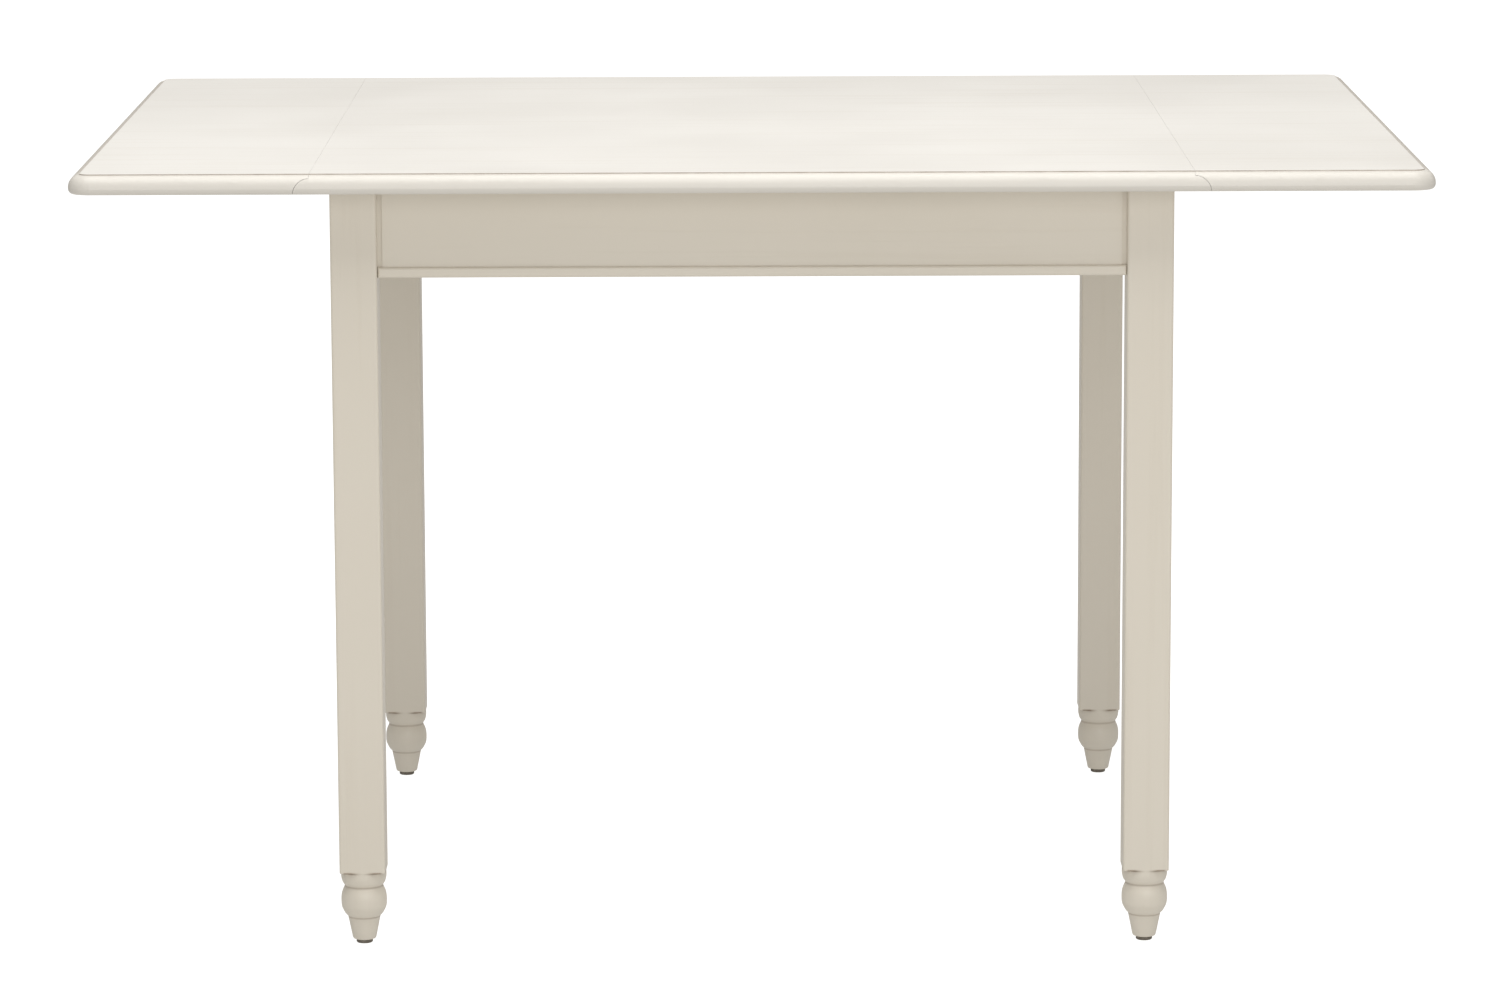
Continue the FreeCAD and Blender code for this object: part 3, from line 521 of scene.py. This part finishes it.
# %% Material: glides
GLIDE_DULL = (0.150, 0.130, 0.102, 1)
GLIDE_SCUFFED = (0.235, 0.210, 0.175, 1)


def glide_material():
    """Dull and dark, lighter and slightly raised where the noise is high."""
    material, tree, shader = new_material("dull_glides", 0.6, specular=0.35)
    place = add(tree, "ShaderNodeTexCoord").outputs["Object"]
    scuff = remap(tree, noise(tree, place, 240.0, detail=4.0), 0.45, 0.7)
    colour = blend_colour(tree, scuff, GLIDE_DULL, GLIDE_SCUFFED)
    wire(tree, colour, shader.inputs["Base Color"])
    finish_bump(tree, shader, scuff, 0.0001, 0.5)
    return material


materials["glide"] = glide_material()
print("materials so far:", sorted(materials))


# %% A finish for every part
def node_material(node):
    """The material for a part: by its slot, and for frame parts by the way its grain runs."""
    if slot_of[node] != "painted_frame":
        return materials[slot_of[node]]
    if node.startswith("leg_"):
        return frame_paint["z"]
    return frame_paint["x" if node.endswith(("front", "rear")) else "y"]


for name, part in frame["nodes"].items():
    part.data.materials.clear()
    part.data.materials.append(node_material(name))
print("parts given a finish:", len(frame["nodes"]))

# %% [markdown]
# ## Legs
# A leg is a square post whose lower end was turned on a lathe. One formula covers both: at every
# height the outline is the smaller of two shapes, the rounded square of the post and the circle cut
# by the lathe. A spun foot could be joined to a box by a boolean, which leaves long thin faces and a
# poor shoulder. Worked out on a grid of angles and heights, the leg is one closed skin of even faces,
# and the shoulder is cut exactly where the circle leaves the square.

# %% Helper: a closed skin from rings
def skin_from_rings(name, rings):
    """A closed mesh from an array of rings, shape (rings, points, 3), each joined to the next.

    Corner j of ring i joins corner j + 1 of the same ring and the same two of the next ring.
    The first ring is the lowest, and the rings run anticlockwise seen from above.
    """
    count, around, _ = rings.shape
    i, j = np.meshgrid(np.arange(count - 1), np.arange(around), indexing="ij")
    k = (j + 1) % around
    quads = np.stack([i * around + j, i * around + k, (i + 1) * around + k, (i + 1) * around + j], -1)
    faces = quads.reshape(-1, 4).tolist()
    faces.append(list(range(around - 1, -1, -1)))
    faces.append(list(range((count - 1) * around, count * around)))
    mesh = bpy.data.meshes.new(name)
    mesh.from_pydata(rings.reshape(-1, 3).tolist(), [], faces)
    mesh.update()
    piece = bpy.data.objects.new(name, mesh)
    scene.collection.objects.link(piece)
    return piece


def store(piece, name, values):
    """A number for every corner of the mesh, which a material can read by its name."""
    attribute = piece.data.attributes.new(name, "FLOAT", "POINT")
    attribute.data.foreach_set("value", np.asarray(values, np.float32).ravel())


def smooth_but_sharp(piece, degrees):
    """Shades the piece smooth, and keeps an edge sharp where its two faces turn by more."""
    piece.data.shade_smooth()
    piece.data.set_sharp_from_angle(angle=math.radians(degrees))


print("helpers for skins:", [f.__name__ for f in (skin_from_rings, store, smooth_but_sharp)])


# %% Helper: a smooth line through marked points
def smooth_through(points, steps):
    """Points on a curve through the marked ones.

    Between each two, the curve is a cubic in t from 0 to 1. It starts and ends on the marks. Its slope
    at a mark is half the step between the mark's neighbours, and at an end, the whole step to the one.
    """
    marks = np.asarray(points, float)
    slopes = np.gradient(marks, axis=0)
    t = np.linspace(0, 1, steps, endpoint=False)[None, :, None]
    a, b = marks[:-1, None], marks[1:, None]
    p, q = slopes[:-1, None], slopes[1:, None]
    curve = (2 * t**3 - 3 * t**2 + 1) * a + (t**3 - 2 * t**2 + t) * p
    curve = curve + (3 * t**2 - 2 * t**3) * b + (t**3 - t**2) * q
    return np.vstack([curve.reshape(-1, 2), marks[-1:]])


print("points on a three-mark curve:", len(smooth_through([(0, 0), (1, 1), (2, 0)], 8)))

# %% The turned outline of a foot, as radius and height in millimetres
SHOULDER = 72.8
NECK = (18.6, 57.5)
CREASE = (15.6, 26.5)
CONE = [(9.8, 4.0), (10.9, 4.5), (11.5, 5.6), (13.6, 15.8), (15.5, 25.2), (15.7, 26.0)]
BALL = smooth_through([
    (15.7, 27.0), (17.7, 28.9), (19.4, 31.4), (21.7, 36.5),
    (22.2, 42.5), (22.0, 47.5), (21.0, 52.0), NECK], 8)
RING = smooth_through([NECK, (19.6, 59.4), (20.8, 61.2), (21.9, 65.2), (22.2, 69.0), (22.0, SHOULDER)], 8)
POMMEL = smooth_through([(29.0, SHOULDER), (29.9, 73.1), (31.1, 74.2), (32.4, 76.8)], 5)
SHOULDER_FLAT = [(22.4, SHOULDER), (24.0, SHOULDER), (27.5, SHOULDER)]
CLEAR_OF_POST = 40.0
leg_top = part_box("leg_front_left")[1].z * 1000
POST = [(CLEAR_OF_POST, height) for height in np.linspace(78.0, leg_top, 24)]
outline = np.vstack([CONE, [CREASE], BALL, RING[1:], SHOULDER_FLAT, POMMEL, POST]) / 1000
print("rows in a leg:", len(outline))


# %% The rounded square of the post
EDGE_EASE = 0.0024


def square_reach(angles, half, ease):
    """How far the rounded square reaches at each angle: to its flat side, half over the larger of
    cosine and sine, or within a corner to the small circle of radius ease that rounds it."""
    flat = half / np.maximum(np.abs(np.cos(angles)), np.abs(np.sin(angles)))
    off = (angles % (math.pi / 2)) - math.pi / 4
    centre = (half - ease) * math.sqrt(2)
    inside = np.clip(ease**2 - (centre * np.sin(off)) ** 2, 0, None)
    corner = centre * np.cos(off) + np.sqrt(inside)
    edge = math.pi / 4 - math.atan((half - ease) / half)
    return np.where(np.abs(off) < edge, corner, flat)


def leg_angles(half, ease):
    """Angles round the leg: even on the sides, and close together where a corner turns."""
    edge = math.pi / 4 - math.atan((half - ease) / half)
    side = np.linspace(-math.pi / 4 + edge, math.pi / 4 - edge, 22)
    corner = np.linspace(math.pi / 4 - edge, math.pi / 4 + edge, 8)[1:-1]
    one = np.concatenate([side, corner])
    return np.concatenate([one + k * math.pi / 2 for k in range(4)])


print("angles round a leg:", len(leg_angles(0.022, EDGE_EASE)))

# %% [markdown]
# ## Painted shade on a leg
# Shade is painted in three places: the crease under the ball, the neck between ball and ring, and
# the shoulder. It could be a line at a height, as on the aprons, but at the shoulder it lies only
# towards the corners, in four pairs of small crescents of painted shadow, for the gap under the
# square's edge. So each corner of the mesh carries its own number, worked out from the same grid of
# angles and heights as the shape.

# %% Painted shade numbers, and a leg from the two outlines
# Painted shade in the crease under the ball and in the neck.
SHADED_CREASES = ((26.7, 0.8, 0.38), (NECK[1], 1.0, 0.36))


def leg_shade(angles, half):
    """How much painted shade each corner of a leg holds, from 0 to 1.

    A shaded crease has a place and a width in millimetres, and a depth from 0 to 1. It adds depth
    times exp(-((height - place) / width) squared). The shoulder's painted shadow has the same bell,
    1.1 mm wide, times a share that depends on the angle: the share grows over the first 2.5 mm that the
    square reaches past its flat side, and falls to nothing between 6 and 7.5 mm, just before the corner.
    """
    height = outline[:, 1] * 1000
    bells = [depth * np.exp(-(((height - place) / width) ** 2)) for place, width, depth in SHADED_CREASES]
    crease = sum(bells)
    overhang = (square_reach(angles, half, EDGE_EASE) - half) * 1000
    # Painted shadow in the gap under the square's edge, as crescents towards the corners.
    crescent = np.clip(overhang / 2.5, 0, 1) * np.clip((7.5 - overhang) / 1.5, 0, 1)
    at_shoulder = np.exp(-(((height - SHOULDER) / 1.1) ** 2))
    return np.clip(crease[:, None] + at_shoulder[:, None] * crescent[None, :], 0, 1)


def build_leg(name):
    """A leg at its part's place: each ring is the smaller of the circle and the rounded square."""
    low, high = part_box(name)
    centre = (np.array(low) + np.array(high)) / 2
    half = (high.x - low.x) / 2
    angles = leg_angles(half, EDGE_EASE)
    reach_out = np.minimum(outline[:, :1], square_reach(angles, half, EDGE_EASE)[None, :])
    rings = np.empty(reach_out.shape + (3,))
    rings[..., 0] = centre[0] + reach_out * np.cos(angles)
    rings[..., 1] = centre[1] + reach_out * np.sin(angles)
    rings[..., 2] = outline[:, 1:]
    piece = skin_from_rings("painted_" + name, rings)
    # The painted shade numbers go on the leg for its material to read.
    store(piece, "painted_shade", leg_shade(angles, half))
    smooth_but_sharp(piece, degrees=32)
    piece.data.materials.append(frame_paint["z"])
    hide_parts(name)
    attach(piece, "table")
    return piece


legs = [build_leg(name) for name in sorted(frame["nodes"]) if name.startswith("leg_")]
print("legs:", [leg.name for leg in legs], "faces each:", len(legs[0].data.polygons))

# %% [markdown]
# ## Sizes
# The box of the parts is printed.

# %% Write the sizes and finish
print("parts' box:", [round(v, 4) for v in (*cad_low, *cad_high)])
